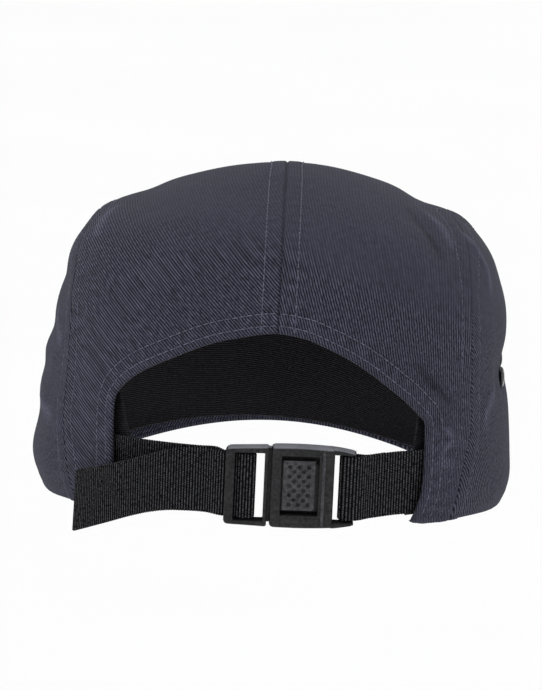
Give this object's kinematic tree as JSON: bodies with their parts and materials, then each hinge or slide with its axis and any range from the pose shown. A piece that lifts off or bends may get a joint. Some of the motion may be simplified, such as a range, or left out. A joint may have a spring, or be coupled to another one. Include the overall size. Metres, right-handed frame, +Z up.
{
  "type": "five panel cap",
  "caption": "Soft panelled cotton cap with a curved peak, an arched opening at the back and a webbing strap closed by a push-button buckle.",
  "frame": {"origin": "centre of the plane of the crown's rim, where the head enters the cap", "axes": "+Y toward the visor, +Z up toward the crown's top, +X to the wearer's right, which is to the right when the cap is seen from behind"},
  "size_m": [0.1821, 0.2716, 0.1336],
  "materials": {
    "twill": "matt cotton twill",
    "band_twill": "matt cotton twill",
    "webbing": "ribbed webbing",
    "buckle_plastic": "satin moulded",
    "button_plastic": "satin, dimpled",
    "eyelet_metal": "black enamel"
  },
  "bodies": {
    "root": {"front_panel": "twill", "side_panel_left": "twill", "side_panel_right": "twill", "back_panel_left": "twill", "back_panel_right": "twill", "visor": "twill", "sweatband": "band_twill", "strap_left": "webbing", "strap_right": "webbing", "buckle_male": "buckle_plastic", "buckle_female": "buckle_plastic", "buckle_button": "button_plastic", "eyelet_right_rear": "eyelet_metal", "eyelet_right_front": "eyelet_metal", "eyelet_left_rear": "eyelet_metal", "eyelet_left_front": "eyelet_metal"}
  },
  "joints": []
}
